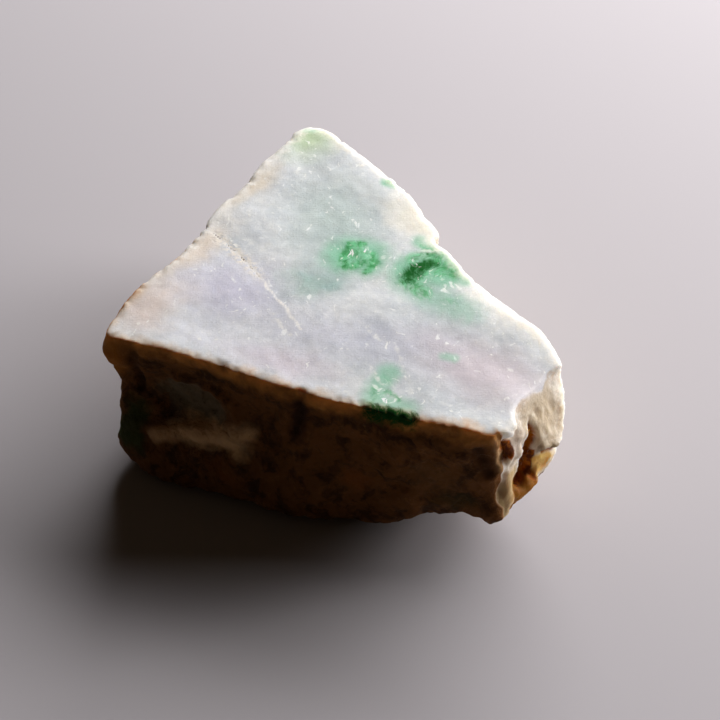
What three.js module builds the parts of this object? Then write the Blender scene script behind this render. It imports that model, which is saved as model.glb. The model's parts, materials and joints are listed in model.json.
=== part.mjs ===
// Raw jade boulder: one broken piece of jadeite rough with a flat fresh face on top, a weathered rind
// round its front and a small flat underneath that it rests on.
//
// Millimetres, +Z up. The origin is the centre of the bounding box's bottom, on the resting flat.
// -Y is the rind side, +Y the narrow tip, +X the end with the overhanging block.

import * as THREE from "three";
import { ImprovedNoise } from "three/addons/math/ImprovedNoise.js";

// ---- Driving dimensions --------------------------------------------------------------------------

const HEIGHT = 22.5; // from the resting flat to the fresh face
const CENTRE = new THREE.Vector2(0, -2); // the plan's centre, which every station looks out from

const SEGMENTS = 160; // points round each ring
const STEPS = [3, 3, 3, 3, 3]; // rings from each named level down to the next
const TOP_RINGS = 7; // rings across the fresh face
const BASE_RINGS = 4; // rings across the resting flat
const RIM_BEVEL = { inset: 0.5, drop: 0.25 }; // the worn arris round the fresh face

const FACE_RELIEF = { size: 11, depth: 0.22 }; // how far the fresh face swells and dips
const BREAKS = [
  { size: 9.0, depth: 0.7 }, // broad hollows of the broken sides
  { size: 4.2, depth: 0.45 }, // smaller chips
];
const WHOLE_BELOW_RIM = { start: 0.2, end: 4 }; // the breaks grow to full depth between these drops
const WHOLE_ABOVE_FLAT = 3; // and fade out again over this height above the resting flat
const DIP_CLOSENESS = 4; // the higher, the closer to the rim the face keeps its dips

// Each station is a line down the outline of the side, in order round the stone from the left corner.
// rim is a point of the fresh face's edge: [x, y] and, where the face dips there, its height.
// faces is the way that the side looks there, in degrees from +X towards +Y.
// wall is the side below the rim at four levels: [how far out of the rim, height].
// base is where the resting flat begins, as a share of the rim's distance from the centre.
const STATIONS = [
  // left corner: a thin fin over a notch, with a round lobe below
  { rim: [-29.8, -12.7], faces: 195, wall: [[-0.1, 18.6], [-1.6, 13.6], [-1.0, 7.2], [-1.5, 2.6]], base: 0.88 },
  { rim: [-29.4, -10.2], faces: 170, wall: [[0.0, 18.0], [-0.9, 13.2], [-0.6, 7.0], [-2.2, 2.2]], base: 0.8 },
  // back left side: a nearly straight break, a little fuller at mid height
  { rim: [-27.8, -6.2], faces: 155, wall: [[0.2, 17.0], [0.3, 12.0], [-0.3, 7.0], [-2.6, 2.0]], base: 0.78 },
  { rim: [-25.2, -2.0], faces: 145, wall: [[0.1, 17.0], [0.4, 12.0], [0.0, 7.0], [-2.2, 2.0]], base: 0.8 },
  { rim: [-22.2, 1.4], faces: 148, wall: [[0.2, 17.0], [0.6, 12.0], [0.3, 7.0], [-1.8, 2.0]], base: 0.8 },
  { rim: [-20.0, 5.2], faces: 152, wall: [[0.2, 17.0], [0.5, 12.0], [0.3, 7.0], [-2.0, 2.0]], base: 0.8 },
  { rim: [-18.4, 8.6], faces: 152, wall: [[-0.2, 17.0], [0.2, 12.0], [0.0, 7.0], [-2.4, 2.0]], base: 0.78 },
  { rim: [-17.8, 10.4], faces: 148, wall: [[-0.3, 17.0], [0.1, 12.0], [-0.3, 7.0], [-2.6, 2.0]], base: 0.76 },
  { rim: [-15.8, 14.1], faces: 146, wall: [[0.1, 17.0], [0.3, 12.0], [-0.7, 7.0], [-3.0, 2.2]], base: 0.72 },
  { rim: [-12.9, 17.8], faces: 142, wall: [[0.2, 17.0], [0.2, 12.0], [-1.2, 7.0], [-3.8, 2.4]], base: 0.67 },
  { rim: [-11.0, 22.1], faces: 136, wall: [[0.1, 17.0], [-0.2, 12.0], [-2.0, 7.4], [-4.6, 2.8]], base: 0.61 },
  { rim: [-7.8, 26.8], faces: 118, wall: [[0.1, 17.0], [-0.8, 12.4], [-3.0, 8.0], [-6.2, 3.4]], base: 0.56 },
  // tip
  { rim: [-5.9, 30.3, 22.2], faces: 106, wall: [[0.0, 17.4], [-1.2, 13.0], [-4.0, 8.6], [-8.0, 4.0]], base: 0.53 },
  { rim: [-3.7, 31.3, 22.1], faces: 98, wall: [[0.0, 17.4], [-1.3, 13.0], [-4.2, 8.8], [-8.4, 4.0]], base: 0.53 },
  { rim: [-0.9, 29.6, 22.3], faces: 86, wall: [[-0.2, 17.2], [-1.4, 12.6], [-4.0, 8.2], [-7.8, 3.6]], base: 0.54 },
  // back right side: a fresh break that leans in towards its foot
  { rim: [2.4, 25.4], faces: 66, wall: [[-0.3, 17.0], [-1.3, 12.2], [-3.2, 7.6], [-6.0, 3.0]], base: 0.56 },
  { rim: [6.1, 21.2], faces: 50, wall: [[-0.2, 17.0], [-1.0, 12.0], [-2.4, 7.2], [-5.0, 2.6]], base: 0.6 },
  { rim: [8.8, 17.8], faces: 36, wall: [[0.0, 17.0], [-0.4, 12.0], [-1.8, 7.0], [-4.2, 2.4]], base: 0.62 },
  { rim: [10.7, 14.6], faces: 30, wall: [[-0.2, 17.0], [-0.6, 12.0], [-1.9, 7.0], [-4.0, 2.4]], base: 0.63 },
  { rim: [12.4, 10.8], faces: 26, wall: [[-0.1, 17.0], [-0.4, 12.0], [-1.5, 7.0], [-3.6, 2.4]], base: 0.64 },
  // the notch in the rim and the shoulder beside it
  { rim: [14.0, 7.8], faces: 22, wall: [[-0.6, 17.6], [-0.9, 12.4], [-1.8, 7.0], [-3.6, 2.6]], base: 0.62 },
  { rim: [14.2, 6.9], faces: 20, wall: [[-0.6, 17.6], [-1.0, 12.4], [-1.8, 7.0], [-3.6, 2.6]], base: 0.62 },
  { rim: [13.5, 5.8], faces: 20, wall: [[-0.1, 17.6], [-0.2, 12.4], [-0.9, 7.0], [-2.7, 2.6]], base: 0.645 },
  { rim: [15.1, 3.8], faces: 30, wall: [[-0.4, 17.4], [-0.8, 12.2], [-2.0, 7.2], [-4.0, 2.8]], base: 0.6 },
  { rim: [18.4, -2.0], faces: 34, wall: [[-0.2, 17.2], [-1.0, 12.4], [-2.6, 7.6], [-5.6, 3.2]], base: 0.54 },
  { rim: [23.2, -7.6], faces: 38, wall: [[-0.2, 17.2], [-1.2, 13.0], [-3.6, 8.6], [-7.6, 4.2]], base: 0.5 },
  { rim: [27.3, -12.2, 22.3], faces: 22, wall: [[0.0, 17.6], [-1.2, 13.6], [-4.2, 9.4], [-8.0, 5.2]], base: 0.46 },
  { rim: [29.2, -17.0, 21.8], faces: 8, wall: [[0.1, 17.8], [-0.6, 14.6], [-2.8, 10.6], [-6.0, 6.8]], base: 0.45 },
  // the block at the right end: it overhangs, and the wall below it is cut back
  { rim: [29.8, -21.0, 21.3], faces: 350, wall: [[0.3, 18.0], [0.1, 14.6], [-0.9, 11.2], [-3.2, 7.6]], base: 0.46 },
  { rim: [29.0, -23.4, 21.0], faces: 320, wall: [[0.4, 18.0], [0.5, 14.4], [-0.3, 11.2], [-1.9, 7.7]], base: 0.47 },
  { rim: [26.2, -24.1, 21.6], faces: 290, wall: [[0.5, 18.0], [0.6, 14.2], [0.3, 10.6], [0.4, 7.8]], base: 0.49 },
  // the groove between the block and the two ridges of the front right corner
  { rim: [24.6, -26.0, 22.0], faces: 340, wall: [[-0.9, 18.0], [-1.0, 14.0], [-0.3, 10.4], [0.6, 7.7]], base: 0.5 },
  { rim: [23.4, -27.8, 22.0], faces: 335, wall: [[-0.7, 18.0], [-0.8, 13.6], [-0.5, 9.8], [0.1, 7.4]], base: 0.5 },
  { rim: [22.2, -29.5, 22.0], faces: 325, wall: [[0.1, 18.0], [-0.2, 13.6], [-0.3, 9.8], [-0.3, 7.0]], base: 0.5 },
  { rim: [20.8, -29.8, 22.1], faces: 340, wall: [[-0.3, 18.0], [0.1, 13.4], [0.4, 9.6], [0.5, 6.8]], base: 0.5 },
  { rim: [19.1, -30.4, 22.2], faces: 0, wall: [[0.5, 17.8], [1.0, 13.2], [1.4, 9.4], [1.3, 6.5]], base: 0.53 },
  // front: the rind side, nearly upright on the right
  { rim: [16.0, -29.4], faces: 268, wall: [[0.4, 17.6], [0.2, 13.0], [0.2, 9.4], [-0.3, 5.9]], base: 0.62 },
  { rim: [11.9, -28.5], faces: 255, wall: [[0.4, 17.4], [0.3, 13.0], [0.3, 8.8], [-0.6, 5.0]], base: 0.7 },
  { rim: [7.6, -27.1], faces: 252, wall: [[0.2, 17.2], [0.5, 12.6], [0.6, 7.6], [-0.2, 2.8]], base: 0.86 },
  { rim: [3.0, -25.5], faces: 250, wall: [[0.2, 17.0], [0.8, 12.2], [1.3, 7.0], [1.1, 2.0]], base: 0.94 },
  { rim: [-1.8, -24.0], faces: 250, wall: [[0.2, 17.0], [0.8, 12.0], [1.9, 6.8], [2.1, 1.8]], base: 0.98 },
  { rim: [-6.9, -22.0], faces: 250, wall: [[0.1, 17.0], [0.7, 12.0], [2.4, 6.4], [2.9, 1.8]], base: 1.0 },
  // front left: a hollow under the rim, then the ledge and the belly below it
  { rim: [-11.2, -20.0], faces: 252, wall: [[-0.3, 17.0], [0.2, 11.6], [2.9, 6.2], [3.2, 1.8]], base: 1.02 },
  { rim: [-15.6, -18.0], faces: 254, wall: [[-0.8, 17.0], [-0.7, 11.2], [3.2, 6.0], [3.9, 1.8]], base: 1.04 },
  { rim: [-20.4, -16.1], faces: 252, wall: [[-1.0, 17.0], [-1.0, 11.2], [2.8, 6.0], [3.9, 1.7]], base: 1.03 },
  { rim: [-24.8, -14.6], faces: 248, wall: [[-1.0, 17.4], [-1.5, 12.2], [1.9, 6.4], [3.0, 1.8]], base: 0.99 },
  { rim: [-27.9, -13.5], faces: 228, wall: [[-0.5, 17.6], [-1.7, 12.8], [0.8, 6.6], [1.1, 2.3]], base: 0.94 },
];

// ---- Small helpers -------------------------------------------------------------------------------

const noise = new ImprovedNoise();
const NOISE_SHIFT = 37.3; // moves the stone away from the noise's own lattice points

// A number from about -1 to 1 that changes smoothly over the given size.
function swell(point, size) {
  const at = (value) => value / size + NOISE_SHIFT;
  return noise.noise(at(point.x), at(point.y), at(point.z));
}

// A point out from the rim by a distance, the way that the side faces there.
function outward(rim, faces, out, height) {
  const turn = THREE.MathUtils.degToRad(faces);
  return new THREE.Vector3(rim[0] + out * Math.cos(turn), rim[1] + out * Math.sin(turn), height);
}

// The named levels of a station, from the rim to the edge of the resting flat.
function levelsOf({ rim, faces, wall, base }) {
  const top = outward(rim, faces, 0, (rim[2] ?? HEIGHT) - RIM_BEVEL.drop);
  const flat = new THREE.Vector3(
    THREE.MathUtils.lerp(CENTRE.x, rim[0], base),
    THREE.MathUtils.lerp(CENTRE.y, rim[1], base),
    0,
  );
  return [top, ...wall.map(([out, height]) => outward(rim, faces, out, height)), flat];
}

// One smooth closed ring through the same level of every station.
function ringThrough(points) {
  const curve = new THREE.CatmullRomCurve3(points, true, "centripetal");
  return Array.from({ length: SEGMENTS }, (_, i) => curve.getPoint(i / SEGMENTS));
}

// ---- The three surfaces --------------------------------------------------------------------------

// The broken and weathered side: rings from the rim down to the resting flat.
function sideRings() {
  const levels = STATIONS.map(levelsOf);
  const named = levels[0].map((_, level) => ringThrough(levels.map((station) => station[level])));
  const lines = named[0].map((_, i) => new THREE.CatmullRomCurve3(named.map((ring) => ring[i])));
  const rings = [];
  STEPS.forEach((steps, level) => {
    for (let k = 0; k < steps; k++) {
      const t = (level + k / steps) / STEPS.length;
      rings.push(lines.map((line) => line.getPoint(t)));
    }
  });
  rings.push(named[named.length - 1]);
  return rings.map((ring) => ring.map((point) => breakUp(point)));
}

// Chips the side in and out of its smooth shape. The rim and the resting flat stay where they are.
function breakUp(point) {
  const belowRim = THREE.MathUtils.smoothstep(HEIGHT - point.z, WHOLE_BELOW_RIM.start, WHOLE_BELOW_RIM.end);
  const aboveFlat = THREE.MathUtils.smoothstep(point.z, 0, WHOLE_ABOVE_FLAT);
  const out = new THREE.Vector3(point.x - CENTRE.x, point.y - CENTRE.y, 0).normalize();
  const push = BREAKS.reduce((sum, { size, depth }) => sum + depth * swell(point, size), 0);
  return point.clone().addScaledVector(out, push * belowRim * aboveFlat);
}

// The fresh face: rings from the worn arris in to the middle.
function faceRings(rim) {
  const heights = rim.map((point) => point.z + RIM_BEVEL.drop);
  const rings = [];
  for (let k = TOP_RINGS; k >= 1; k--) {
    const share = k / TOP_RINGS;
    rings.push(
      rim.map((point, i) => {
        const inset = k === TOP_RINGS ? RIM_BEVEL.inset : 0;
        const plan = new THREE.Vector2(point.x, point.y).sub(CENTRE);
        plan.setLength(plan.length() * share - inset).add(CENTRE);
        return onFace(plan, THREE.MathUtils.lerp(HEIGHT, heights[i], share ** DIP_CLOSENESS));
      }),
    );
  }
  return rings;
}

// A point of the fresh face, with the low relief of the cut stone.
function onFace(plan, height) {
  const point = new THREE.Vector3(plan.x, plan.y, 0);
  point.z = height + FACE_RELIEF.depth * swell(point, FACE_RELIEF.size);
  return point;
}

// The resting flat: rings from its edge in towards the middle, all at height 0.
function flatRings(edge) {
  const rings = [];
  for (let k = BASE_RINGS - 1; k >= 1; k--) {
    const share = k / BASE_RINGS;
    rings.push(edge.map((point) => new THREE.Vector3(CENTRE.x, CENTRE.y, 0).lerp(point, share)));
  }
  return rings;
}

// ---- The solid -----------------------------------------------------------------------------------

// Joins rings that run from the middle of the face, over the rim and down to the middle of the flat.
function closedSurface(rings, first, last) {
  const points = [first, ...rings.flat(), last];
  const at = (ring, i) => 1 + ring * SEGMENTS + (i % SEGMENTS);
  const faces = [];
  for (let i = 0; i < SEGMENTS; i++) {
    faces.push([0, at(0, i + 1), at(0, i)]);
    for (let ring = 0; ring < rings.length - 1; ring++) {
      faces.push([at(ring, i), at(ring, i + 1), at(ring + 1, i)]);
      faces.push([at(ring, i + 1), at(ring + 1, i + 1), at(ring + 1, i)]);
    }
    faces.push([points.length - 1, at(rings.length - 1, i), at(rings.length - 1, i + 1)]);
  }
  const geometry = new THREE.BufferGeometry().setFromPoints(points);
  geometry.setIndex(faces.flat());
  return geometry;
}

// Puts the middle of the bounding box's bottom at the origin.
function standOnOrigin(geometry) {
  geometry.computeBoundingBox();
  const box = geometry.boundingBox;
  const middle = box.getCenter(new THREE.Vector3());
  geometry.translate(-middle.x, -middle.y, -box.min.z);
  return geometry;
}

function stoneGeometry() {
  const side = sideRings();
  const face = faceRings(side[0]).reverse();
  const flat = flatRings(side[side.length - 1]);
  const crown = onFace(CENTRE, HEIGHT);
  const foot = new THREE.Vector3(CENTRE.x, CENTRE.y, 0);
  const geometry = standOnOrigin(closedSurface([...face, ...side, ...flat], crown, foot));
  geometry.computeVertexNormals();
  return geometry;
}

const jadeite = new THREE.MeshStandardMaterial({ color: 0xc9cbcc, roughness: 0.55, metalness: 0 });

const stone = new THREE.Mesh(stoneGeometry(), jadeite);
stone.name = "jade_boulder";

const model = new THREE.Group();
model.add(stone);

export default model;
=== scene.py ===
# %% [markdown]
# # A raw jade boulder
#
# This lesson finishes one broken piece of raw jadeite, small enough for a hand. Its top is a fresh, nearly
# flat break with a sugary grain, clouds of lavender and spots of bright green. Its long front side is the
# brown rind that years of weathering leave on a river stone, and its right end is a rough break where iron
# stains and clean white jade run side by side.
#
# A stone like this could be sculpted by hand, or built from noise alone. Noise alone never puts a groove or
# a green spot where it belongs, and a hand sculpt can't be read or changed later. So the stone starts from
# the faceted solid, gets one dense mesh, and is then worked in three passes that are all written down:
# chips from noise, named strokes that carve or raise one feature each, and one material whose colour masks
# sit at named places.

import json
import math

import bmesh
import bpy
import numpy as np
from mathutils import Euler, Matrix, Vector, noise
from mathutils.bvhtree import BVHTree

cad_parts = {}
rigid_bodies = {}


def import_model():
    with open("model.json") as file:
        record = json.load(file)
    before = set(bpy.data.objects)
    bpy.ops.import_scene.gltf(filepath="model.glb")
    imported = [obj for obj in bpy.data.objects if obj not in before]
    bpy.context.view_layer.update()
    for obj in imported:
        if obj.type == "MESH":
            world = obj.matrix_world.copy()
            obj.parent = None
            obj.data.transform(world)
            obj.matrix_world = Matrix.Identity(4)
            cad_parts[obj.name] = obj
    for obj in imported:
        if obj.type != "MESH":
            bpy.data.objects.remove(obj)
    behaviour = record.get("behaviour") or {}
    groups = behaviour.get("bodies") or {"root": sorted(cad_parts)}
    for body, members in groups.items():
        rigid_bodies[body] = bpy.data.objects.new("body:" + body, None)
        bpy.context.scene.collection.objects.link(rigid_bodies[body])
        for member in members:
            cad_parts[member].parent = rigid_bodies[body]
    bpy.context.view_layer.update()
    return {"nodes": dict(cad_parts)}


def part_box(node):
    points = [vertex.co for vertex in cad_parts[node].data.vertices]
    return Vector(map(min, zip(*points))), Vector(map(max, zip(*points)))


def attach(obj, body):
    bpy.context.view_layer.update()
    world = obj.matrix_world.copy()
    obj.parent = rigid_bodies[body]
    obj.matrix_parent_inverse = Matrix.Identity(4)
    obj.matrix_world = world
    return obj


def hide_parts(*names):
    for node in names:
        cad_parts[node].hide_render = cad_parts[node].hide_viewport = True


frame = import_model()
MM = 0.001
solid = frame["nodes"]["jade_boulder"]
low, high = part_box("jade_boulder")
print("solid, mm:", [round(side / MM, 1) for side in (high - low)])

# %% [markdown]
# ## Camera
#
# The stone is looked at from its rind side, halfway between level and straight down, so that the fresh face
# and the front are both in view. A long lens from close by keeps the outline nearly parallel, as it is for
# anyone who leans over a table to inspect a small stone. The camera comes first because every later choice
# is judged through it.

# %% Camera
LOOK_AT = Vector((3.1, -6.1, 11.0)) * MM
LOOK_DOWN = math.radians(45)
DISTANCE = 272 * MM
LENS = 100

camera_data = bpy.data.cameras.new("studio_camera")
camera_data.lens = LENS
camera_data.sensor_width = 36
camera_data.clip_start = 0.01
camera = bpy.data.objects.new("studio_camera", camera_data)
bpy.context.scene.collection.objects.link(camera)
camera.location = LOOK_AT + DISTANCE * Vector((0, -math.cos(LOOK_DOWN), math.sin(LOOK_DOWN)))
camera.rotation_euler = (math.pi / 2 - LOOK_DOWN, 0, 0)
bpy.context.scene.camera = camera
print("camera stands", round(DISTANCE / MM), "mm away")

# %% [markdown]
# ## Floor and light
#
# Jade is shown with its main light behind it, because light that comes through the rim tells how clear the
# material is. Here that light is one soft lamp as wide as a window, low behind the stone and to its right.
# It is near, so the floor is bright at the back right and falls off towards the front left, and the brown
# front stays in shade. A small lamp, lower still, comes in from the right and models the broken end. The
# world is almost black and warm, as the shade of a room is. The colours are shown with the Standard view,
# which doesn't compress them.

# %% Floor and light
FLOOR_SIZE = 4.0
# name: (width, height and distance in metres, degrees from behind towards the right, degrees up, watts)
LAMPS = {
    "window_lamp": (0.68, 0.26, 0.44, 39, 29, 4.7),
    "end_lamp": (0.34, 0.20, 0.90, 80, 16, 3.4),
}
WORLD_COLOR = (1.0, 0.72, 0.45, 1)
WORLD_STRENGTH = 0.02

bpy.ops.mesh.primitive_plane_add(size=FLOOR_SIZE, location=(0, 0, low.z))
floor = bpy.context.active_object
floor.name = "studio_floor"
floor_paint = bpy.data.materials.new("pale_floor")
floor_paint.use_nodes = True
floor_shader = floor_paint.node_tree.nodes["Principled BSDF"]
floor_shader.inputs["Base Color"].default_value = (0.50, 0.472, 0.49, 1)
floor_shader.inputs["Roughness"].default_value = 0.85
floor_shader.inputs["Specular IOR Level"].default_value = 0.2
floor.data.materials.append(floor_paint)

for name, (width, height, distance, turn, rise, watts) in LAMPS.items():
    lamp_data = bpy.data.lights.new(name, "AREA")
    lamp_data.shape = "RECTANGLE"
    lamp_data.size = width
    lamp_data.size_y = height
    lamp_data.energy = watts
    lamp_data.color = (1.0, 0.985, 0.99)
    lamp = bpy.data.objects.new(name, lamp_data)
    bpy.context.scene.collection.objects.link(lamp)
    towards = Vector((0, math.cos(math.radians(rise)), math.sin(math.radians(rise))))
    towards.rotate(Matrix.Rotation(-math.radians(turn), 3, "Z"))
    lamp.location = LOOK_AT + distance * towards
    lamp.rotation_euler = towards.to_track_quat("Z", "Y").to_euler()

world = bpy.data.worlds.new("studio_world")
world.use_nodes = True
world.node_tree.nodes["Background"].inputs["Color"].default_value = WORLD_COLOR
world.node_tree.nodes["Background"].inputs["Strength"].default_value = WORLD_STRENGTH
bpy.context.scene.world = world
bpy.context.scene.view_settings.view_transform = "Standard"
print("lamps:", ", ".join(LAMPS))

# %% [markdown]
# ## One dense mesh
#
# The faceted solid has the right outline but triangles a few millimetres long, too coarse for chips and
# grain. Subdividing would keep its uneven rows. A voxel remesh gives quads of one size all over instead,
# so that a chip on the side and a dimple on the face get the same detail. A light smoothing then takes out
# the steps that voxels leave on a slope. The spacing is chosen so that the piece stays under 200,000
# triangles.

# %% Dense mesh
QUAD = 0.31 * MM

stone = bpy.data.objects.new("jade_stone", solid.data.copy())
bpy.context.scene.collection.objects.link(stone)
welded = bmesh.new()
welded.from_mesh(stone.data)
bmesh.ops.remove_doubles(welded, verts=welded.verts, dist=0.001 * MM)
welded.to_mesh(stone.data)
welded.free()

remesh = stone.modifiers.new("even_quads", "REMESH")
remesh.mode = "VOXEL"
remesh.voxel_size = QUAD
remesh.adaptivity = 0
relax = stone.modifiers.new("relax", "SMOOTH")
relax.factor = 0.5
relax.iterations = 3
even = stone.evaluated_get(bpy.context.evaluated_depsgraph_get())
dense = bpy.data.meshes.new_from_object(even)
stone.modifiers.clear()
stone.data = dense
dense.name = "jade_stone"
print("dense mesh:", len(dense.vertices), "points")

# %% [markdown]
# ## Working on all the points at once
#
# Every pass reads and writes the whole mesh as an array of points in millimetres. Four small helpers do
# the work: one reads the points and the way that each faces, one writes them back, one gives smooth random
# numbers at the points, and one fades a value from 0 to 1. The noise is built on a square lattice, so it is
# turned away from the stone's own axes, or fine grain would look woven.

# %% Array helpers
NOISE_TURN = (0.7, 0.5, 0.9)  # radians about X, Y and Z
TURNED = np.array(Euler(NOISE_TURN).to_matrix())


def read_points():
    """The points and their outward directions, in millimetres."""
    points = np.empty(len(dense.vertices) * 3)
    dense.vertices.foreach_get("co", points)
    outward = np.empty(len(dense.vertices) * 3)
    dense.vertex_normals.foreach_get("vector", outward)
    return points.reshape(-1, 3) / MM, outward.reshape(-1, 3)


def write_points(points):
    dense.vertices.foreach_set("co", (points * MM).ravel())
    dense.update()


def swell(points, size, seed):
    """A smooth number from about -1 to 1 at each point; size is in millimetres."""
    places = points @ TURNED / size + 7.31 * seed
    return np.array([noise.noise(Vector(place)) for place in places])


def fade(values, start, end):
    """0 at start and before it, 1 at end and after it, and smooth in between."""
    share = np.clip((values - start) / (end - start), 0, 1)
    return share * share * (3 - 2 * share)


points, outward = read_points()
print("points span, mm:", np.round(points.min(0), 1), np.round(points.max(0), 1))

# %% [markdown]
# ## Where the fresh face ends
#
# The fresh face and the sides are different surfaces and get different chips and colours, so each point
# needs to know how far it is from the rim between them. Two distances tell this: one to the nearest facet of
# the solid's flat top, which grows down the sides, and one to the nearest facet of its sides, which grows
# inwards over the face. Their difference is one number that runs from face to side through 0 at the rim.

# %% Distance from the rim
UPRIGHT = 0.75


def distance_from(facets):
    """How far each point is from the nearest of these facets, in millimetres."""
    corners = [solid.data.vertices[v].co for facet in facets for v in facet.vertices]
    tree = BVHTree.FromPolygons(corners, [(i, i + 1, i + 2) for i in range(0, len(corners), 3)])
    return np.array([tree.find_nearest(Vector(point) * MM)[3] for point in points]) / MM


drop = distance_from([facet for facet in solid.data.polygons if facet.normal.z > UPRIGHT])
inset = distance_from([facet for facet in solid.data.polygons if facet.normal.z <= UPRIGHT])
from_rim = drop - inset
on_side = fade(drop, 0.3, 1.6)
above_foot = fade(points[:, 2], 0.1, 1.8)
print("the face reaches", round(float(inset.max()), 1), "mm in from the rim")

# %% [markdown]
# ## Which side is which
#
# Going round the stone, the sides have different histories. The front is old rind. The right end broke
# along iron-stained cracks. The back right is the freshest break, nearly white. The back left has only a
# thin tan skin. One number, the share of rind, follows the angle round the stone's middle, and the places
# where it changes wander a little so that no boundary is a straight line.

# %% Share of rind round the stone
MIDDLE = np.array((-0.1, -2.2))
RIND_ROUND = [
    (-180, 0.45), (-168, 0.75), (-161, 0.95), (-150, 1.0), (-60, 1.0), (-53.9, 0.95), (-52.9, 0.25),
    (-30, 0.22), (-15, 0.12), (20, 0.05), (80, 0.08), (100, 0.20), (125, 0.32), (160, 0.42), (180, 0.45),
]

around = np.degrees(np.arctan2(points[:, 1] - MIDDLE[1], points[:, 0] - MIDDLE[0]))
wander = around + 1.6 * swell(points, 3.0, 1)
rind = np.interp(wander, *zip(*RIND_ROUND))
underside = fade(-outward[:, 2], 0.45, 0.85)
rind = np.maximum(rind, 0.9 * underside)
print("mean share of rind on the sides:", round(float(rind[on_side > 0.5].mean()), 2))

# %% [markdown]
# ## One flat split
#
# At the right end a flake has split off below the rim and left a facet that leans back. A plane does it:
# every point near the place that lies outside the plane is set back onto it.

# %% Split facet
FACET_AT = np.array((27.3, -24.2, 14.5))
FACET_FACES = np.array((0.75, -0.52, 0.41)) / np.linalg.norm((0.75, -0.52, 0.41))
FACET_REACH = (8.5, 10.0)

outside = np.maximum((points - FACET_AT) @ FACET_FACES, 0)
near = 1 - fade(np.linalg.norm(points - FACET_AT, axis=1), *FACET_REACH)
near[points[:, 2] < FACET_AT[2] - 1] = 0
write_points(points - (outside * near)[:, None] * FACET_FACES)
points, outward = read_points()
print("points set back:", int((outside * near > 0.05).sum()))

# %% [markdown]
# ## Chips and grain
#
# Fresh jade breaks in small hollows with sharp ridges between them, and a rind weathers into soft lumps
# with pits. Both come from the same noise: its absolute value has sharp valleys, so taken away from the
# surface it leaves sharp ridges, and added it leaves lumps. The face gets only a low, fine relief. The foot
# is left flat so that the stone stands.

# %% Chips from noise
FRESH_CHIPS = [(3.6, 0.70), (1.7, 0.40), (0.8, 0.12)]
RIND_LUMPS = [(6.5, 0.85), (2.8, 0.50), (1.3, 0.28), (0.7, 0.12)]
FACE_GRAIN = [(7.0, 0.16), (2.2, 0.06), (1.1, 0.025)]

chips = sum(-depth * np.abs(swell(points, size, 2 + i)) for i, (size, depth) in enumerate(FRESH_CHIPS))
lumps = sum(depth * np.abs(swell(points, size, 5 + i)) for i, (size, depth) in enumerate(RIND_LUMPS))
grain = sum(depth * swell(points, size, 9 + i) for i, (size, depth) in enumerate(FACE_GRAIN))
side_relief = (1 - rind) * (chips + 0.2) + rind * (lumps - 0.2)
relief = (1 - on_side) * grain + on_side * side_relief
write_points(points + outward * (relief * above_foot)[:, None])
print("relief, mm:", round(float(relief.min()), 2), "to", round(float(relief.max()), 2))

# %% [markdown]
# ## A nicked rim
#
# The edge between the face and the sides has lost small flakes. The surface beside it is pushed in wherever
# one of two fine noises is high, and never out, so the outline turns ragged but doesn't grow. A third, wide
# noise leaves some stretches of the rim whole.

# %% Nicks along the rim
NICKS = [(2.6, 0.24), (1.0, 0.24)]
WHOLE_STRETCH = 7.0

points, outward = read_points()
beside_rim = 1 - fade(np.abs(from_rim), 0.2, 1.5)
beside_rim *= 0.35 + 0.65 * fade(swell(points, WHOLE_STRETCH, 20), -0.25, 0.25)
nicks = sum(depth * fade(swell(points, size, 13 + i), 0.0, 0.6) for i, (size, depth) in enumerate(NICKS))
write_points(points - outward * (nicks * beside_rim)[:, None])
print("deepest nick, mm:", round(float((nicks * beside_rim).max()), 2))

# %% [markdown]
# ## Strokes
#
# What makes this stone itself is a set of single features: two pale ridges and a stained pocket at the
# front right corner, a deep groove, a block with a lip, a ledge and a hollow on the rind, a groove behind
# the fin at the left corner and the notch where the crack meets the rim. Each is a stroke: a short path,
# how wide it is, and how far it lifts the surface or, below zero, carves it. A stroke can also leave a
# finish behind, which the material reads later: clean white jade on a ridge, an iron stain in a groove of
# the broken sides that turns into dark brown painted shade in a groove of the rind, or a pale tan on raised
# rind that is partly its own tan and partly painted light.

# %% Strokes
def distance_to(path, points):
    """How far each point is from a path of straight pieces, and how far along it the nearest spot is."""
    path = np.array(path, float)
    best = np.full(len(points), np.inf)
    along = np.zeros(len(points))
    for i, (start, end) in enumerate(zip(path[:-1], path[1:])):
        piece = end - start
        share = np.clip((points - start) @ piece / (piece @ piece), 0, 1)
        away = np.linalg.norm(points - start - share[:, None] * piece, axis=1)
        closer = away < best
        best[closer] = away[closer]
        along[closer] = (i + share[closer]) / (len(path) - 1)
    return best, along


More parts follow.
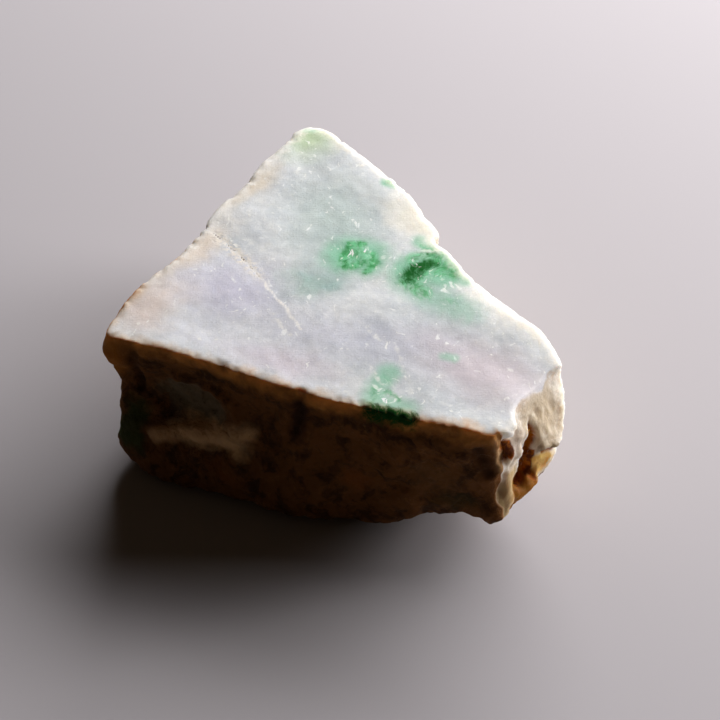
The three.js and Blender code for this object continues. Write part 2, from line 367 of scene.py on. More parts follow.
STROKES = {
    # right end
    "corner_ridge": (0.6, 0.3, "tan", [(19.8, -30.3, 21.4), (20.3, -30.0, 18.7), (20.8, -29.9, 15.4)]),
    "orange_hollow": (1.3, -0.5, "stain", [(18.0, -30.6, 19.0), (19.2, -30.6, 15.5)]),
    "pocket": (1.2, -1.2, "stain", [(21.5, -29.8, 19.8), (21.6, -29.9, 18.9), (21.4, -30.0, 17.3)]),
    "pocket_wall": (1.0, -0.15, "stain", [(22.1, -29.0, 18.8), (21.9, -29.3, 17.0)]),
    "high_ridge": (0.9, 0.4, "", [(23.8, -26.5, 20.4), (23.4, -27.1, 18.2), (23.0, -27.6, 16.2)]),
    "low_ridge": (1.2, 0.45, "", [
        (23.0, -27.6, 16.2), (22.6, -28.5, 14.2), (22.1, -29.4, 12.2), (21.9, -29.8, 9.7),
        (21.5, -30.5, 7.8)]),
    "groove": (0.95, -1.2, "stain", [
        (25.1, -25.3, 20.8), (25.3, -25.2, 19.2), (25.3, -25.3, 16.9), (24.8, -25.5, 14.6),
        (24.2, -25.9, 12.8), (24.0, -26.5, 11.1), (23.6, -27.2, 10.0)]),
    "block_edge": (0.5, 0.35, "clean", [
        (25.5, -24.2, 21.6), (26.1, -24.6, 19.8), (26.7, -24.7, 17.6), (27.1, -24.6, 15.6)]),
    "block_lip": (0.7, 0.35, "", [(26.6, -24.9, 13.9), (27.6, -24.4, 13.7), (28.4, -23.8, 13.4)]),
    "under_lip": (0.6, -0.7, "stain", [(26.9, -24.7, 12.9), (27.8, -24.0, 12.6), (28.6, -22.8, 12.4)]),
    "yellow_edge": (0.6, -0.4, "stain", [
        (25.3, -25.3, 13.4), (24.9, -25.7, 11.8), (25.0, -26.1, 10.4), (25.6, -26.0, 9.4)]),
    "yellow_rim": (0.3, 0.25, "clean", [
        (27.6, -23.8, 12.0), (27.5, -24.0, 10.6), (27.0, -24.6, 9.5), (26.0, -25.7, 8.9)]),
    "groove_foot": (1.1, -0.2, "", [(24.1, -26.8, 10.8), (24.9, -26.2, 9.6)]),
    "flare": (1.3, 0.5, "", [(22.3, -29.2, 9.2), (23.3, -28.1, 8.9), (24.6, -26.8, 8.7), (25.4, -26.0, 8.6)]),
    # left corner and front
    "fin_groove": (0.9, -0.9, "stain", [(-26.3, -14.1, 20.6), (-26.2, -13.6, 16.6), (-26.0, -12.9, 12.6)]),
    "front_groove": (1.0, -0.6, "stain", [(-4.6, -23.4, 22.3), (-4.7, -23.2, 18.5), (-5.3, -23.3, 15.6)]),
    "hollow_left": (3.2, -0.9, "", [(-22.5, -14.4, 13), (-17.5, -16.2, 13.4)]),
    "hollow_brow": (1.0, 0.6, "", [
        (-20.5, -15.1, 17), (-16.6, -16.8, 16.8), (-13.6, -18.7, 15.5), (-12.6, -19.6, 13.4)]),
    "ledge": (1.6, 0.8, "tan", [
        (-23.6, -16.7, 8.1), (-20.5, -17.1, 8.6), (-17.1, -17.9, 9.3), (-13.5, -19.6, 10.8),
        (-11, -20.7, 12.4)]),
    "low_step": (1.0, 0.5, "", [(9.5, -28.6, 9.0), (10.2, -28.4, 5.5)]),
    "heel": (2.3, -0.8, "", [(15.6, -29.4, 4.0), (19.2, -30.4, 4.8)]),
    # face
    "crack_end": (0.7, -0.8, "stain", [(-18.6, 8.5, 22.8), (-18.4, 8.4, 17)]),
}

CRUMBLE_DEPTH = 0.14  # of the sugary breaks at the sides

clean = np.zeros(len(points))
# The stain finish is a real iron stain on the broken sides and painted shade in the grooves of the rind.
stain = np.zeros(len(points))
# The tan finish is partly the crust's own tan and partly painted light on raised spots.
tan = np.zeros(len(points))
FINISHES = {"clean": clean, "stain": stain, "tan": tan}

points, outward = read_points()
push = np.zeros(len(points))
ripple = 1 + 0.35 * swell(points, 1.6, 14)
uneven = 1 + 0.4 * swell(points, 1.1, 21)
crumble = -CRUMBLE_DEPTH * np.abs(swell(points, 0.9, 22)) * on_side * (1 - rind)
for name, (width, lift, finish, path) in STROKES.items():
    away, along = distance_to(path, points)
    touch = 1 - fade(away * ripple, 0.15 * width, 1.25 * width)
    push += lift * touch
    if finish:
        np.maximum(FINISHES[finish], touch, out=FINISHES[finish])
rind = np.minimum(rind, 1 - 0.8 * clean)
write_points(points + outward * ((push * uneven + crumble) * above_foot)[:, None])
print(len(STROKES), "strokes; deepest", round(float(push.min()), 2), "mm")

# %% [markdown]
# ## The crack and the healed veins
#
# One open crack runs in from the left rim and dies out near the middle, and a few thin white veins are old
# cracks that grew together again. A line this thin is narrower than the mesh's quads, so only its shallow
# valley is in the shape. Its colour comes from the exact distance to the line, stored at each point.

# %% Crack and veins
FACE_Z = 22.5
VALLEY_DEPTH = 0.07
CRACK = [(-18.5, 9), (-12, 1), (-9, -4), (-4.5, -12)]
VEINS = [
    [(4, -18), (6, -22)],
    [(7.5, -14), (9, -21)],
    [(4, -11.5), (5.5, -14)],
    [(-8.5, -9), (-6, -13)],
    [(11.5, 3.5), (13.5, 3)],
]


def on_face(path):
    """A path over the fresh face, at the face's height."""
    return [(x, y, FACE_Z) for x, y in path]


points, outward = read_points()
wobble = np.stack([0.35 * swell(points, 1.3, 15 + i) for i in range(3)], axis=1)
crack, crack_along = distance_to(on_face(CRACK), points + wobble)
crack_open = (1 - fade(crack_along, 0.30, 0.70)) * (1 - on_side)
vein = np.min([distance_to(on_face(path), points + wobble)[0] for path in VEINS], axis=0)
valley = VALLEY_DEPTH * crack_open * (1 - fade(crack, 0.05, 0.4))
write_points(points - outward * valley[:, None])
print("crack length, mm:", round(sum(math.dist(a, b) for a, b in zip(CRACK, CRACK[1:])), 1))

# %% [markdown]
# ## Where the green lies
#
# The green is what makes jade valued. It lies in wisps, not in round spots, so it is laid out like the other
# features: short paths, each with a width and a strength. There are three tones: a wide pale halo, clear
# leaf green, and the deep green where the colour is densest. The three measures go to the material, which
# frays their edges.

# %% Green paths
GREENS = {
    "halo": [
        (6.5, 1.0, [(1.5, 2.5), (4.0, 2.0)]),
        (6.5, 1.0, [(10.0, -1.0), (14.5, -0.5)]),
        (5.0, 0.6, [(9.0, -3.0), (11.0, -5.0), (14.0, -6.5), (17.0, -8.5)]),
        (4.0, 0.6, [(6.0, 1.0), (9.0, -1.0)]),
        (2.6, 0.8, [(11.5, 5.0), (14.0, 3.0), (17.0, -2.5)]),
        (3.2, 0.75, [(6.8, -19.8), (5.5, -21.8), (4.8, -25.0), (9.0, -26.2)]),
        (1.7, 0.7, [(14.0, -17.0), (15.0, -17.2)]),
        (1.8, 1.0, [(6.9, 17.6), (8.0, 17.2)]),
        (4.0, 0.3, [(-6.5, -1.5), (-4.0, -4.0), (-1.0, -3.5)]),
        (1.8, 0.8, [(-4.6, 30.2), (-3.0, 30.4)]),
    ],
    "leaf": [
        (3.3, 0.75, [(2.2, 2.9), (3.4, 1.4)]),
        (1.4, 1.0, [(0.9, 0.3), (1.0, 2.4), (2.0, 4.6), (3.4, 4.6)]),
        (1.3, 1.0, [(4.9, 2.6), (5.0, 0.6), (4.0, -0.9)]),
        (1.5, 0.9, [(1.2, 0.2), (2.8, 0.4)]),
        (2.9, 0.9, [(9.8, -2.2), (11.0, -0.2), (13.0, 0.8)]),
        (2.3, 0.9, [(12.6, 0.9), (14.0, 0.1), (15.1, 0.5), (15.7, -1.2)]),
        (1.9, 0.7, [(13.0, -0.7), (14.5, -1.1)]),
        (2.6, 0.8, [(9.3, -2.6), (10.1, -3.5), (11.6, -5.0)]),
        (2.1, 0.8, [(10.2, 1.6), (12.0, 2.6), (13.8, 2.2)]),
        (1.5, 0.7, [(11.7, 4.2), (13.4, 3.2)]),
        (2.2, 0.4, [(13.6, -5.9), (15.2, -6.4)]),
        (1.8, 0.35, [(6.6, -20.0), (7.0, -21.0)]),
        (1.3, 0.55, [(5.0, -22.6), (4.6, -25.0)]),
        (1.0, 0.75, [(6.4, -23.2), (7.4, -23.8), (8.0, -24.8)]),
        (1.6, 0.7, [(3.6, -25.7), (5.6, -26.3), (9.6, -27.6)]),
        (1.0, 0.8, [(7.0, 17.6), (7.8, 17.3)]),
    ],
    "deep": [
        (2.6, 0.9, [(9.5, -2.0), (10.6, -0.7)]),
        (1.9, 0.95, [(10.8, -0.5), (12.2, 0.6)]),
        (1.3, 0.7, [(12.2, 0.7), (13.4, 0.4)]),
        (1.2, 0.5, [(12.4, 2.6), (13.5, 2.0)]),
        (1.1, 0.45, [(0.9, 0.3), (1.0, 1.6)]),
        (1.0, 0.45, [(2.6, 4.8), (3.7, 4.3)]),
        (2.1, 1.0, [(4.0, -26.4), (6.6, -27.0), (9.2, -27.9)]),
    ],
}

flat_points = points * (1, 1, 0.6)  # the green reaches a little way down the sides
painted = {}
for tone, paths in GREENS.items():
    painted[tone] = np.zeros(len(points))
    for width, strength, path in paths:
        away = distance_to([(x, y, 0.6 * FACE_Z) for x, y in path], flat_points)[0]
        np.maximum(painted[tone], strength * (1 - fade(away, 0.1 * width, width)), out=painted[tone])
print({tone: round(float(share.mean()), 4) for tone, share in painted.items()})

# %% [markdown]
# ## A flat foot
#
# The stone must stand as it stood before, so nothing may reach below the floor. Points that noise pushed
# under it are lifted back onto it. The few quads that this flattens are the real contact marks.

# %% Flat foot
points, outward = read_points()
points[:, 2] = np.maximum(points[:, 2], low.z / MM)
write_points(points)
for face in dense.polygons:
    face.use_smooth = True
lean = 1 - fade(read_points()[1][:, 2], 0.62, 0.92)
print("lowest point, mm:", round(float(points[:, 2].min()), 3))

# %% [markdown]
# ## Notes for the material
#
# The material can't ask the mesh where its rind or its crack is, so each of those numbers is stored on the
# points as a named attribute. One of them, the lean, is how far the surface tips away from level, so that a
# nick in the rim takes the colour of the side. Attributes are smooth between points, which suits patches
# and distances. The fine, crisp detail comes from the shader's own noise.

# %% Attributes
NOTES = {"from_rim": from_rim, "lean": lean, "rind": rind, "clean": clean, "stain": stain, "tan": tan,
         "crack": crack, "crack_open": crack_open, "vein": vein, **painted}
for name, values in NOTES.items():
    dense.attributes.new(name, "FLOAT", "POINT").data.foreach_set("value", values.astype(np.float32))
print("attributes:", ", ".join(NOTES))

# %% [markdown]
# ## A few words for building a material
#
# This rock needs almost five hundred nodes, and wiring them one by one hides the idea. These helpers make a
# node, set it and join it in one call, so that each later step reads like a recipe. Places in the material
# are in millimetres, like the strokes.

# %% Material helpers
jade = bpy.data.materials.new("jadeite")
jade.use_nodes = True
nodes = jade.node_tree.nodes
links = jade.node_tree.links
shader = nodes["Principled BSDF"]


def give(socket, value):
    """Joins a node's output to a socket, or sets the socket to a plain value."""
    if isinstance(value, bpy.types.NodeSocket):
        links.new(value, socket)
    else:
        socket.default_value = value


def calc(operation, *values):
    """One step of arithmetic on numbers."""
    made = nodes.new("ShaderNodeMath")
    made.operation = operation
    for socket, value in zip(made.inputs, values):
        give(socket, value)
    return made.outputs[0]


def move(operation, *values):
    """One step of arithmetic on places or directions."""
    made = nodes.new("ShaderNodeVectorMath")
    made.operation = operation
    for socket, value in zip(made.inputs, values):
        give(socket, value)
    return made.outputs["Value" if operation in ("LENGTH", "DISTANCE", "DOT_PRODUCT") else "Vector"]


def note(name):
    """The number that the mesh stores under this name."""
    made = nodes.new("ShaderNodeAttribute")
    made.attribute_name = name
    return made.outputs["Fac"]


def clouds(place, size, detail=2.0, roughness=0.5, color=False):
    """Soft noise from 0 to 1 whose blobs are about this many millimetres across."""
    turned = nodes.new("ShaderNodeMapping")
    give(turned.inputs["Vector"], place)
    turned.inputs["Rotation"].default_value = NOISE_TURN
    made = nodes.new("ShaderNodeTexNoise")
    give(made.inputs["Vector"], turned.outputs[0])
    made.inputs["Scale"].default_value = 1 / size
    made.inputs["Detail"].default_value = detail
    made.inputs["Roughness"].default_value = roughness
    return made.outputs["Color" if color else "Fac"]


def between(value, start, end, low=0.0, high=1.0):
    """Goes smoothly from low to high as the value goes from start to end."""
    made = nodes.new("ShaderNodeMapRange")
    made.interpolation_type = "SMOOTHSTEP"
    for socket, setting in zip(made.inputs, (value, start, end, low, high)):
        give(socket, setting)
    return made.outputs["Result"]


def srgb(red, green, blue):
    """A colour from the usual 0 to 255 values, as the light-linear colour that Blender wants."""
    levels = (red, green, blue)
    straight = [(c / 255 / 12.92 if c < 11 else ((c / 255 + 0.055) / 1.055) ** 2.4) for c in levels]
    return (*straight, 1.0)


MIX_UNDER, MIX_OVER, MIX_RESULT = 6, 7, 2  # a Mix node's colour sockets


def over(under, color, mask):
    """Lays a colour over another where the mask is 1."""
    made = nodes.new("ShaderNodeMix")
    made.data_type = "RGBA"
    give(made.inputs["Factor"], mask)
    give(made.inputs[MIX_UNDER], under)
    give(made.inputs[MIX_OVER], color)
    return made.outputs[MIX_RESULT]


place = move("SCALE", nodes.new("ShaderNodeTexCoord").outputs["Object"])
place.node.inputs["Scale"].default_value = 1 / MM
print("material helpers ready")

# %% [markdown]
# ## Patches of colour
#
# Colour in jade comes in clouds: a trace of chromium makes a green spot, of manganese a lavender haze. Each
# cloud is a soft ball inside the stone, stretched and turned, that shows wherever the surface cuts it. If
# its edge were a clean ellipse it would look printed on, so the places are first shaken by soft noise.

# %% Shaken places and the patch helper
def shaken(place, size, reach):
    """Places pushed about by noise, so that whatever is drawn with them gets a ragged edge."""
    push = move("SUBTRACT", clouds(place, size, detail=3, color=True), (0.5, 0.5, 0.5))
    return move("ADD", place, move("MULTIPLY", push, (reach, reach, reach)))


soft_place = shaken(place, 5.0, 5.0)
ragged_place = shaken(soft_place, 1.2, 1.8)


def patch(places, centre, reach, turn=0, core=0.2):
    """1 in the core of a stretched ball at centre, and fading to 0 at its reach (mm each way)."""
    made = nodes.new("ShaderNodeMapping")
    made.vector_type = "TEXTURE"
    give(made.inputs["Vector"], places)
    made.inputs["Location"].default_value = centre
    made.inputs["Rotation"].default_value = (0, 0, math.radians(turn))
    made.inputs["Scale"].default_value = reach
    return between(move("LENGTH", made.outputs[0]), 1.0, core)


def lay_patches(under, patches, places):
    """Lays a list of patches over a colour: (colour, strength, centre, reach, turn, core) each."""
    for color, strength, centre, reach, turn, core in patches:
        mask = calc("MULTIPLY", patch(places, centre, reach, turn, core), strength)
        under = over(under, color, mask)
    return under


print("patch helper ready")

# %% [markdown]
# ## The body of the jade
#
# Under all its colour, this jade is a pale grey-white mass of interlocking grains. Some parts are clear and
# look darker, because light sinks into them, and some are chalky white. Clouds of three sizes give that
# mottling, from under a centimetre down to a millimetre, and a cell pattern, one cell to a grain, gives each
# grain its own small shift.

# %% Pale body
GRAIN = 0.42  # millimetres across one grain


def cells(place, size):
    """A cell pattern with cells of this size in millimetres: its distance, colour and centre outputs."""
    made = nodes.new("ShaderNodeTexVoronoi")
    give(made.inputs["Vector"], place)
    made.inputs["Scale"].default_value = 1 / size
    return made.outputs


def own_number(pattern):
    """One number from 0 to 1 for each cell."""
    return move("DOT_PRODUCT", pattern["Color"], (1, 0, 0))


grains = cells(place, GRAIN)
fine_grains = cells(place, 0.6 * GRAIN)
one_grain = own_number(grains)
clear = between(clouds(soft_place, 7.5, detail=3), 0.42, 0.68)
mottled = between(clouds(soft_place, 2.8, detail=3, roughness=0.5), 0.40, 0.66)
sugary = between(clouds(place, 1.1, detail=4, roughness=0.6), 0.50, 0.70)

body = over(srgb(220, 222, 222), srgb(196, 201, 204), calc("MULTIPLY", clear, 0.85))
body = over(body, srgb(200, 204, 208), calc("MULTIPLY", mottled, 0.45))
body = over(body, srgb(240, 240, 238), calc("MULTIPLY", sugary, 0.40))
body = over(body, srgb(182, 188, 192), calc("MULTIPLY", between(one_grain, 0.16, 0.04), 0.06))
body = over(body, srgb(248, 248, 246), calc("MULTIPLY", between(one_grain, 0.84, 0.96), 0.18))
print("body: three clouds and one cell pattern")

# %% [markdown]
# ## Lavender, cream and grey-green clouds
#
# The lavender lies in two big hazes, bluish on the left and pink at the right, with white between. The left
# rim is warm cream where iron has crept in from the rind.

# %% Hazes
HAZES = [
    # whiter stone at the left
    (srgb(226, 226, 232), 0.65, (-17.0, -13.5, 22), (14.0, 4.5, 9), -22, 0.1),
    # bluish lavender
    (srgb(206, 202, 218), 0.80, (-14.5, -4.2, 22), (13.5, 9.5, 9), -25, 0.0),
    (srgb(190, 192, 204), 0.70, (7.0, -15.0, 22), (11.5, 7.0, 8), -20, 0.0),
    (srgb(206, 204, 214), 0.60, (-3.0, -12.5, 22), (13.0, 7.0, 8), -15, 0.0),
    # pink lavender
    (srgb(202, 189, 194), 0.80, (19.5, -20.0, 22), (13.0, 8.5, 8), -25, 0.1),
    (srgb(220, 208, 218), 0.65, (-6.5, -18.0, 22), (12.0, 5.0, 8), -20, 0.0),
    (srgb(198, 190, 198), 0.60, (13.0, -14.0, 22), (8.0, 6.5, 8), -20, 0.0),
    # grey-green
    (srgb(154, 175, 171), 0.85, (-2.0, -2.0, 22), (8.5, 6.0, 7), 20, 0.0),
    (srgb(180, 197, 191), 0.80, (0.0, 9.0, 22), (11.0, 16.0, 9), 10, 0.0),
    (srgb(154, 182, 180), 0.60, (-0.9, -3.5, 22), (2.6, 1.3, 4), 10, 0.0),
    (srgb(160, 188, 184), 0.50, (-3.8, -1.6, 22), (1.9, 1.5, 4), 10, 0.0),
    (srgb(186, 196, 196), 0.70, (14.0, -8.5, 22), (9.0, 6.0, 8), -30, 0.0),
    # cream
    (srgb(232, 214, 203), 0.75, (-25.5, -7.0, 22), (9.5, 7.5, 12), 35, 0.1),
    (srgb(222, 206, 188), 0.80, (-19.5, 3.5, 22), (3.8, 12.0, 14), -42, 0.1),
    (srgb(224, 210, 188), 0.75, (-12.5, 17.0, 22), (3.8, 10.5, 14), -32, 0.1),
    (srgb(240, 236, 222), 0.80, (11.5, 9.0, 22), (5.0, 11.0, 14), 33, 0.1),
    (srgb(182, 204, 156), 0.80, (-4.3, 28.5, 22), (7.5, 9.0, 9), 0, 0.0),
    (srgb(252, 250, 244), 0.95, (22.5, -7.5, 20), (4.6, 14.0, 14), 48, 0.1),
]

hazy = lay_patches(body, HAZES, soft_place)
print(len(HAZES), "hazes")

# %% [markdown]
# ## Green
#
# Each of the three painted tones is frayed before it is laid on. The noise that frays them is stretched,
# because the green follows the long crystals of the jade, and finer and stronger for the deeper tones.

# %% Greens
def frayed(tone, size, amount, start, end):
    """The painted tone with an edge that breaks up into threads of this size."""
    stretched = move("MULTIPLY", soft_place, (1.0, 0.45, 0.7))
    noise_here = calc("SUBTRACT", clouds(stretched, size, detail=5, roughness=0.65), 0.5)
    return between(calc("ADD", note(tone), calc("MULTIPLY", noise_here, amount)), start, end)


pale_green = frayed("halo", 3.0, 0.6, 0.1, 1.1)
leaf_green = calc("MULTIPLY", frayed("leaf", 0.75, 1.5, 0.2, 1.15), 0.95)
deep_green = frayed("deep", 0.55, 1.5, 0.25, 1.0)
darker_leaf = between(clouds(ragged_place, 1.1, detail=4), 0.4, 0.6)
leaf_tone = over(srgb(104, 194, 134), srgb(44, 150, 74), darker_leaf)
green = over(hazy, srgb(142, 200, 168), pale_green)
green = over(green, leaf_tone, leaf_green)
green = over(green, srgb(0, 92, 20), deep_green)
print("greens: halo, leaf and deep")

# %% [markdown]
# ## White flecks
#
# Small white needles lie scattered over the face and gather in the green spots and beside the crack. Each is
# the middle of one long cell. Two layers that point different ways stop them from looking combed.

# %% Flecks
def needles(angle, width, length, share):
    """A mask of short white needles that all lie near one angle."""
    turned = nodes.new("ShaderNodeMapping")
    give(turned.inputs["Vector"], ragged_place)
    turned.inputs["Rotation"].default_value = (0, 0, math.radians(angle))
    turned.inputs["Scale"].default_value = (1, width / length, 0.6)
    cell = cells(turned.outputs[0], width * 3)
    chosen = between(own_number(cell), 1 - share, 1 - 0.8 * share)
    return calc("MULTIPLY", between(cell["Distance"], 0.38, 0.16), chosen)


FLECK_CLUSTERS = [
    ((1.7, 3.0, 22), (1.3, 2.2, 3), 35, 0.4),
    ((4.4, 3.2, 22), (1.2, 1.2, 3), 0, 0.3),
    ((3.1, 0.5, 22), (1.5, 1.1, 3), 0, 0.3),
    ((0.7, 7.7, 22), (1.6, 1.2, 3), 0, 0.3),
    ((9.9, 5.0, 22), (2.6, 1.4, 3), 0, 0.3),
    ((12.2, -3.0, 22), (1.8, 1.5, 3), 0, 0.3),
    ((7.4, 0.3, 22), (1.0, 1.4, 3), 0, 0.3),
    ((-5.6, -5.6, 22), (2.0, 2.6, 3), 0, 0.3),
    ((-13.6, 4.2, 22), (3.6, 1.3, 3), -45, 0.3),
    ((6.4, -24.6, 22), (1.0, 0.9, 2), 0, 0.5),
]

specks = needles(10, 0.20, 0.26, 0.24)
sparse = calc("MAXIMUM", needles(35, 0.26, 0.8, 0.05), needles(-50, 0.22, 0.7, 0.05))
sparse = calc("MAXIMUM", sparse, calc("MULTIPLY", specks, between(clouds(place, 6.0), 0.35, 0.65)))
dense_flecks = calc("MAXIMUM", needles(62, 0.20, 0.7, 0.45), needles(-20, 0.20, 0.6, 0.45))
cluster = 0.0
for centre, reach, turn, core in FLECK_CLUSTERS:
    cluster = calc("MAXIMUM", cluster, patch(ragged_place, centre, reach, turn, core))
flecks = calc("MAXIMUM", calc("MULTIPLY", sparse, 0.6), calc("MULTIPLY", dense_flecks, cluster))
flecked = over(green, srgb(255, 255, 250), calc("MULTIPLY", flecks, 0.95))
print("needle layers: 5")

# %% [markdown]
# ## The crack and the veins
#
# The open crack shows as a thin broken brown line between two cream edges, where the jade beside it has
# weathered and gone sugary. The healed veins are only a little whiter than the stone.

# %% Crack and vein colours
crack_mm = note("crack")
crack_share = note("crack_open")
broken = between(clouds(place, 1.4, detail=3), 0.35, 0.50)
edge = calc("MULTIPLY", between(crack_mm, 1.5, 0.25), between(clouds(place, 0.55, detail=4), 0.38, 0.56))
line = calc("MULTIPLY", between(crack_mm, 0.20, 0.05), broken)
healed = calc("MULTIPLY", between(crack_mm, 0.36, 0.05), 0.95)
cracked = over(flecked, srgb(244, 236, 224), calc("MULTIPLY", edge, calc("MULTIPLY", crack_share, 0.85)))
cracked = over(cracked, srgb(248, 244, 238), healed)
cracked = over(cracked, srgb(106, 76, 48), calc("MULTIPLY", line, calc("MULTIPLY", crack_share, 0.95)))
vein_gaps = between(clouds(place, 0.9, detail=4), 0.40, 0.62)
vein_mask = calc("MULTIPLY", between(note("vein"), 0.55, 0.0), vein_gaps)
veined = over(cracked, srgb(246, 244, 238), calc("MULTIPLY", vein_mask, 0.7))
print("crack: two edges and a line")

# %% [markdown]
# ## A bruised rim
#
# Along the rim the grains are crushed and full of air, so the jade turns chalky white in a band a millimetre
# or two wide. The band is widest on the fresh sides and thin above the rind.

# %% Chalky rim
rim_mm = note("from_rim")
rim_noise = calc("MULTIPLY", calc("SUBTRACT", clouds(place, 1.9, detail=5, roughness=0.65), 0.5), 3.2)
rim_share = between(note("rind"), 0.2, 0.95, 0.85, 0.20)
bruise = calc("MULTIPLY", between(calc("ADD", rim_mm, rim_noise), -2.4, 0.0), rim_share)
fresh = over(veined, srgb(242, 236, 226), bruise)
print("chalky rim ready")

# %% [markdown]
# ## Iron stains on the broken sides
#
# Water has carried iron into the cracks of the right end. It colours the breaks cream to yellow, and fills
# the grooves with orange brown, while the ridges between stay nearly white. The masks for grooves and
# ridges are the strokes' own finishes.

# %% Stained breaks
SIDE_TINTS = [
    (srgb(198, 179, 150), 0.80, (27.0, -23.0, 18.0), (6.5, 6.5, 6.5), 0, 0.5),
    (srgb(160, 130, 90), 0.60, (28.2, -24.2, 16.6), (1.6, 1.6, 2.2), 0, 0.2),
    # Painted highlight: a white band down the far right edge, partly the pale break and partly light wrapping
    # round it from behind.
    (srgb(250, 244, 230), 0.85, (29.8, -20.0, 17.5), (2.0, 6.5, 6.0), 0, 0.3),
    (srgb(104, 82, 42), 0.90, (27.3, -24.5, 13.6), (1.9, 1.9, 1.1), 0, 0.3),
    (srgb(246, 198, 106), 0.95, (26.4, -24.8, 10.8), (2.8, 2.8, 2.6), 0, 0.5),
    (srgb(186, 168, 150), 0.80, (22.9, -27.8, 17.4), (2.4, 2.6, 3.0), 0, 0.3),
    (srgb(182, 152, 106), 0.95, (22.2, -29.2, 12.0), (2.8, 3.2, 4.6), 0, 0.5),
    (srgb(170, 146, 104), 0.95, (21.4, -30.4, 7.6), (2.4, 3.0, 3.2), 0, 0.5),
    (srgb(136, 84, 6), 1.00, (24.0, -27.2, 8.8), (3.8, 3.6, 2.9), 0, 0.6),
    (srgb(186, 148, 102), 0.85, (-14.0, 15.0, 7.0), (10.0, 22.0, 14.0), -32, 0.5),
    (srgb(160, 142, 112), 0.90, (15.0, 2.0, 6.0), (13.0, 30.0, 15.0), 28, 0.6),
]

LEAN_COUNTS_AS = 2.2  # millimetres down the side for a surface that stands upright

shift = calc("MULTIPLY", calc("SUBTRACT", clouds(place, 3.4, detail=5, roughness=0.6), 0.5), 3.6)
side_mm = calc("ADD", calc("ADD", rim_mm, shift), calc("MULTIPLY", note("lean"), LEAN_COUNTS_AS))
on_side_mask = between(side_mm, 0.0, 1.1)
creamy = between(clouds(soft_place, 3.0, detail=5, roughness=0.65), 0.40, 0.62)
tinted = over(fresh, srgb(206, 178, 142), calc("MULTIPLY", creamy, 0.6))
tinted = lay_patches(tinted, SIDE_TINTS, ragged_place)
side = over(fresh, tinted, on_side_mask)
rust = over(srgb(178, 98, 4), srgb(92, 40, 1), between(clouds(ragged_place, 1.8, detail=4), 0.4, 0.62))
finish_edge = clouds(place, 0.9, detail=4)
stain_mask = between(calc("ADD", note("stain"), calc("MULTIPLY", finish_edge, 0.5)), 0.52, 0.95)
side = over(side, rust, stain_mask)
clean_mask = between(calc("ADD", note("clean"), calc("MULTIPLY", finish_edge, 0.4)), 0.55, 1.0)
side = over(side, srgb(228, 217, 202), calc("MULTIPLY", clean_mask, 0.7))
print(len(SIDE_TINTS), "side tints")

# %% [markdown]
# ## The rind
#
# The rind is a weathered crust of clay and iron. From afar it is plain brown, but it has darker and paler
# spots, orange blotches where iron gathered, a grey-olive hollow and a green lobe at the left corner. Its
# grooves are painted dark brown as painted shade. The ledge is painted pale, partly its own tan and partly
# painted light, and a band just under the rim is painted orange as a painted glow of the back light that
# comes through the thin edge. The rind begins just under the rim, along a ragged line.

# %% Rind colours
RIND_TINTS = [
    (srgb(124, 110, 84), 0.80, (-18.5, -15.5, 13.2), (7.5, 4.0, 4.2), -18, 0.4),
    # Partly the ledge's own tan and partly painted light: the ledge is painted far paler than the crust for
    # the light it catches.
    (srgb(240, 194, 138), 0.85, (-16.5, -18.8, 9.6), (8.5, 4.0, 3.0), -18, 0.4),
    (srgb(56, 66, 22), 0.90, (-27.3, -14.8, 7.6), (3.2, 4.0, 5.6), 0, 0.5),
    (srgb(176, 108, 34), 0.85, (-29.0, -12.6, 18.6), (3.0, 3.4, 5.5), 0, 0.4),
    # Painted shade: dark brown down the carved front groove.
    (srgb(54, 30, 12), 0.75, (-5.0, -23.3, 17.8), (1.8, 3.0, 5.0), 0, 0.3),
    (srgb(140, 78, 26), 0.60, (2.4, -26.6, 9.6), (3.2, 2.5, 2.6), 0, 0.2),
    (srgb(134, 76, 26), 0.60, (-14.6, -22.0, 5.6), (4.0, 2.5, 1.6), -15, 0.2),
    (srgb(120, 84, 44), 0.50, (12.5, -29.3, 13.0), (6.0, 2.5, 4.0), -12, 0.2),
    (srgb(58, 52, 20), 0.60, (15.5, -30.0, 9.0), (4.0, 2.5, 2.5), -12, 0.3),
]

dark_spots = between(clouds(ragged_place, 2.8, detail=5, roughness=0.65), 0.44, 0.64)
pale_spots = between(clouds(soft_place, 2.0, detail=5, roughness=0.7), 0.55, 0.74)
crust = over(srgb(116, 72, 30), srgb(58, 34, 12), calc("MULTIPLY", dark_spots, 0.85))
crust = over(crust, srgb(150, 104, 54), calc("MULTIPLY", pale_spots, 0.6))
crust = lay_patches(crust, RIND_TINTS, ragged_place)
# Pale tan on the ledge and the corner ridge, partly their own tan and partly painted light.
crust = over(crust, srgb(222, 176, 124), calc("MULTIPLY", note("tan"), 0.8))
# Painted shade: where a stroke's stain lies on the rind, its groove is painted dark brown.
crust = over(crust, srgb(50, 27, 10), calc("MULTIPLY", note("stain"), 0.7))
# Painted glow: an orange band on the rind just under the rim stands in for back light shining through the
# thin edge.
rim_gaps = between(clouds(place, 3.0, detail=4), 0.35, 0.58, 0.4)
under_rim = calc("MULTIPLY", between(side_mm, 5.0, 1.7), rim_gaps)
crust = over(crust, srgb(240, 160, 76), calc("MULTIPLY", under_rim, 0.92))

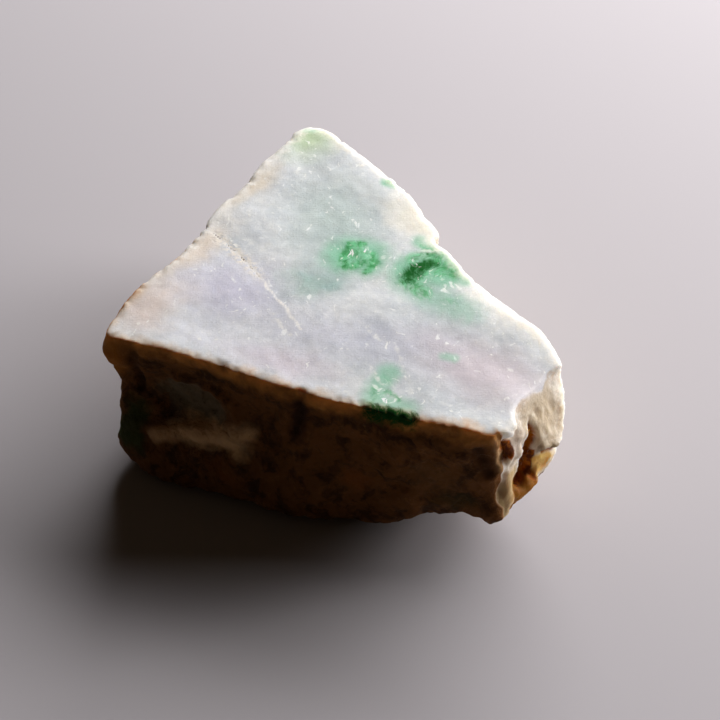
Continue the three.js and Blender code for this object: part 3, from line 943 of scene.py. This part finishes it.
rind_edge = calc("MULTIPLY", calc("SUBTRACT", clouds(place, 2.8, detail=5), 0.5), 0.7)
rind_share = calc("ADD", note("rind"), rind_edge)
has_rind = between(rind_share, 0.38, 0.66)
rind_mask = calc("MULTIPLY", has_rind, between(side_mm, 0.3, 1.7))
pale_seep = calc("MULTIPLY", has_rind, between(side_mm, -1.9, 0.0))
dark_seep = calc("MULTIPLY", has_rind, between(side_mm, -0.7, 0.7))
skin = over(side, srgb(214, 176, 132), calc("MULTIPLY", pale_seep, 0.65))
skin = over(skin, srgb(190, 116, 48), calc("MULTIPLY", dark_seep, 0.8))
skin = over(skin, crust, rind_mask)
rim_green = calc("MULTIPLY", deep_green, between(rim_mm, -2.4, -1.2))
skin = over(skin, srgb(2, 72, 4), calc("MULTIPLY", rim_green, has_rind))
print(len(RIND_TINTS), "rind tints")

# %% [markdown]
# ## Grain you can feel
#
# Fresh jade glitters because each grain is a tiny flat facet that faces its own way. A cell pattern gives
# every grain its own tilt: the height rises along a random direction inside each cell. The rind has pits and
# crumbs instead, so it gets plain noise. Both heights are in millimetres and go through one bump node.

# %% Bump
def tilted_grains(pattern, steepness):
    """A height that slopes its own way inside every cell."""
    inside = move("SUBTRACT", place, pattern["Position"])
    slope = move("SUBTRACT", pattern["Color"], (0.5, 0.5, 0.5))
    return calc("MULTIPLY", move("DOT_PRODUCT", inside, slope), steepness)


fresh_height = calc("ADD", tilted_grains(grains, 0.10), tilted_grains(fine_grains, 0.05))
break_height = calc("MULTIPLY", clouds(place, 1.0, detail=6, roughness=0.65), 0.19)
fresh_height = calc("ADD", fresh_height, calc("MULTIPLY", break_height, on_side_mask))
rind_height = calc("MULTIPLY", clouds(place, 0.9, detail=6, roughness=0.7), 0.55)
height = calc("ADD", calc("MULTIPLY", fresh_height, calc("SUBTRACT", 1.0, rind_mask)),
              calc("MULTIPLY", rind_height, rind_mask))
bump = nodes.new("ShaderNodeBump")
bump.inputs["Strength"].default_value = 1.0
bump.inputs["Distance"].default_value = MM
give(bump.inputs["Height"], height)
print("bump joined")

# %% [markdown]
# ## Gloss and inner light
#
# A fresh break is satiny, and the rind and the deep green are matt. Light also enters jade and comes out a
# millimetre or two away, which softens the face and lights the rim from behind. That is subsurface
# scattering, and the rind gets less of it because it is opaque.

# %% Shader
gloss = between(clouds(place, 0.5, detail=3), 0.35, 0.65, 0.58, 0.74)
gloss = calc("ADD", gloss, calc("MULTIPLY", calc("MAXIMUM", rind_mask, deep_green), 0.22))
through_rind = between(rind_mask, 0.0, 1.0, 0.95, 0.25)
through_green = between(deep_green, 0.0, 1.0, 1.0, 0.3)
inner_light = calc("MULTIPLY", through_rind, through_green)
give(shader.inputs["Base Color"], skin)
give(shader.inputs["Roughness"], gloss)
give(shader.inputs["Normal"], bump.outputs["Normal"])
give(shader.inputs["Subsurface Weight"], inner_light)
shader.inputs["Subsurface Radius"].default_value = (1.0, 0.95, 0.85)
shader.inputs["Subsurface Scale"].default_value = 1.9 * MM
shader.inputs["IOR"].default_value = 1.6
shader.inputs["Specular IOR Level"].default_value = 0.15
dense.materials.clear()
dense.materials.append(jade)
print("shader inputs joined;", len(nodes), "nodes")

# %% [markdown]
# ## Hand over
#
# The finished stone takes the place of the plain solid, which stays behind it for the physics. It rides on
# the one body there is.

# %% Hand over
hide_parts("jade_boulder")
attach(stone, "root")
